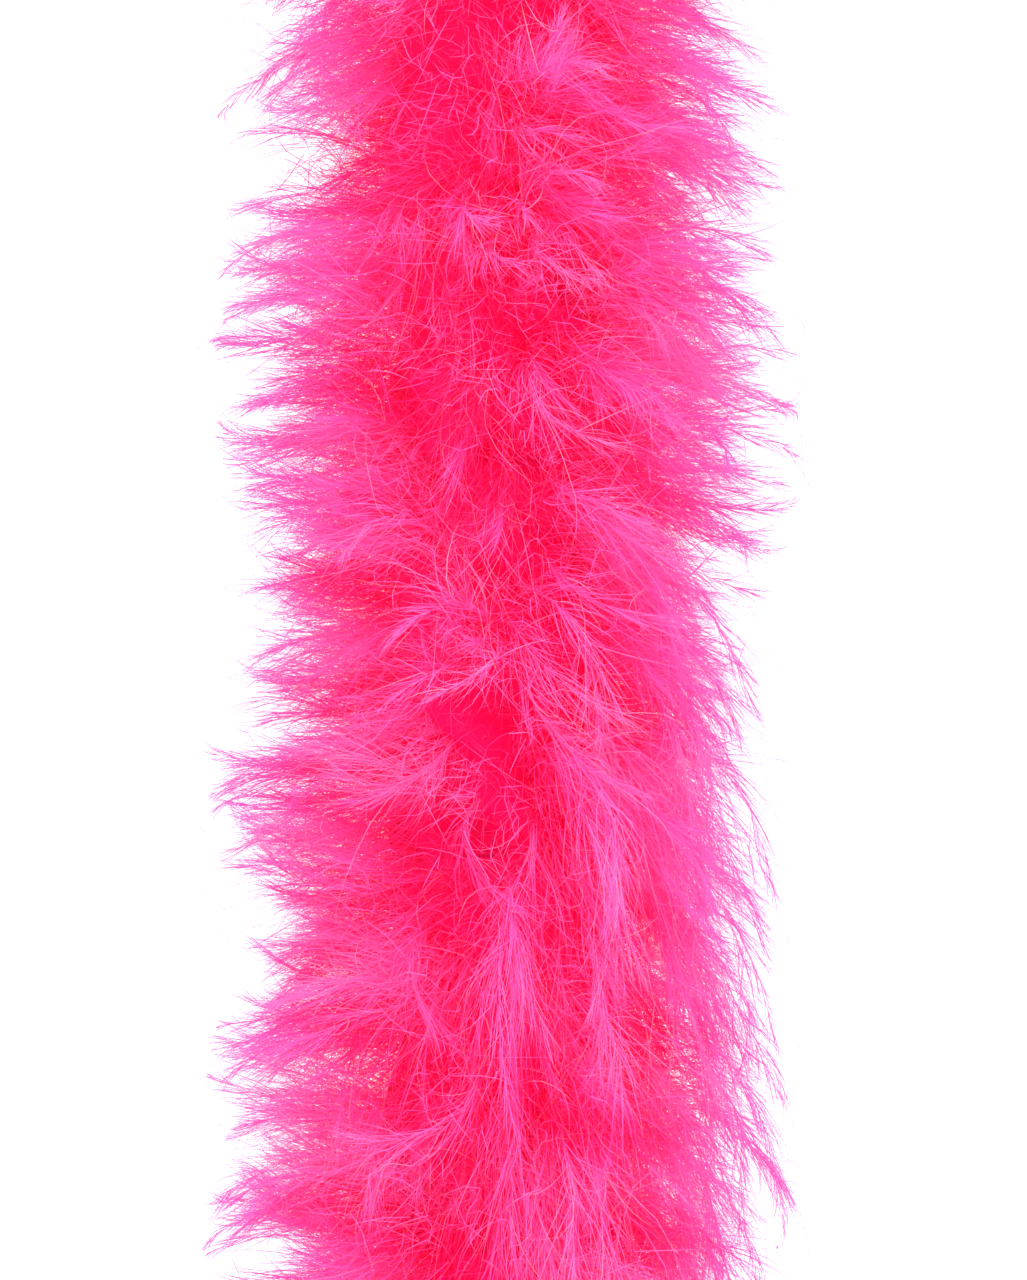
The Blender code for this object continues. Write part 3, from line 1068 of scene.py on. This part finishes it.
small_piece("tail_cord", two_ply(tail_route, CORD_RADIUS) + fray, cord_yarn, "end_tail", stretch_names[-1])

# %% [markdown]
# ## Shafts as strands
# The barbs needed the shafts' paths first. The shafts themselves are drawn last, as the widest
# ribbons, with every second joint left out because they bend so gently.

# %% Shafts as strands
SHAFT_WIDTH = 0.00038
SHAFT_PALE = 0.30


def shaft_strands(paths, tint):
    """Each shaft as a strand of its own."""
    keep = paths[:, ::2]
    return keep, np.full(len(paths), SHAFT_WIDTH), tint, np.full(len(paths), SHAFT_PALE)


print("shafts", round(SHAFT_WIDTH * 1000, 2), "mm wide")

# %% [markdown]
# ## Patches of painted shade
# A slow wave over the boa makes the painted shade of the inner down climb further out in some places
# than in others, and moves the painted highlight with it. The bed itself always keeps the deepest painted
# shade.

# %% Patches of painted shade
SHADE_PATCH = 0.13
# The bed's reach lies inside the painted shade, so the bed takes the deepest painted shade.
BED_REACH = 0.36
shade_waves = random_waves(8, (1, 6), 90, 260)


def shade_patch(a, z):
    """How far the painted shade and painted highlight are moved here, from -1 to 1 or so."""
    return ripple(shade_waves, a, z) / 2


print("dye in front at the middle", round(float(shade_patch(math.radians(-90), VIEW_Z)), 2))

# %% [markdown]
# ## One length of down
# The five kinds of strand and the bed are joined into one mesh, because thousands of loose objects
# would be slow to draw and hard to bend. Each point keeps four values that the colour reads: how far
# out it lies, which sets its painted shade and painted highlight, how far along its own strand, how
# its tuft's dye took and how much more painted highlight it gets.

# %% One length of down
def grow_piece(name, z_top, z_bottom, seed):
    """All the down between two heights, as one mesh."""
    rng = np.random.default_rng(seed)
    paths, target, tint = grow_shafts(z_top, z_bottom, rng)
    parts = [grow_barbs(paths, target, tint, rng), shaft_strands(paths, tint),
             grow_under_down(z_top, z_bottom, rng), grow_curls(paths, tint, z_top, z_bottom, rng),
             grow_wisps(paths, tint, z_top, z_bottom, rng)]
    meshes, fields = [], {"along": [], "tint": [], "pale": []}
    for points, width, tints, highlight_gains in parts:
        verts, quads, tris, share = ribbons(keep_in(points), width, rng)
        meshes.append((verts, quads, tris))
        per = len(verts) // len(width)
        fields["along"].append(share)
        fields["tint"].append(np.repeat(tints, per))
        # Each strand's highlight gain: how much more painted highlight its colour gets.
        fields["pale"].append(np.repeat(highlight_gains, per))
    meshes.append(bed(z_top, z_bottom))
    bed_points = len(meshes[-1][0])
    for field in fields:
        fields[field].append(np.zeros(bed_points))
    verts, quads, tris = join(meshes)
    fields = {field: np.concatenate(values) for field, values in fields.items()}
    around = np.arctan2(verts[:, 1], verts[:, 0])
    fields["reach"] = np.hypot(verts[:, 0], verts[:, 1]) / plume_radius
    # Painted shade patches: the wave moves where the painted shade gives way to the down's own pink.
    fields["reach"] += SHADE_PATCH * shade_patch(around, verts[:, 2])
    # The bed is coloured in the deepest painted shade.
    fields["reach"][-bed_points:] = BED_REACH
    print(name, len(quads) * 2 + len(tris), "triangles")
    return build_mesh(name, verts, quads, tris, fields, down.material)


# %% [markdown]
# ## Growing the boa
# Each length of down runs from the middle of one stretch of core to the middle of the next, so
# that every bend falls inside a piece. The first length has no bend in it and the last hangs below the final
# bend.

# %% The whole boa
middles = [z - stretch / 2 for z in pivot_z]
for number, middle in enumerate(middles):
    top = boa_top if number == 0 else middles[number - 1]
    piece = grow_piece(f"down_{number + 1:02d}", top, middle, 100 + number)
    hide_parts(f"plumes_{number + 1:02d}")
    if number == 0:
        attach(piece, stretch_names[0])
    else:
        above, below = stretch_names[number - 1], stretch_names[number]
        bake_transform(piece)
last = grow_piece("down_end", middles[-1], boa_bottom, 99)
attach(last, stretch_names[-1])
print(len(middles) + 1, "lengths of down, from z", round(boa_top, 3), "to", round(boa_bottom, 3))
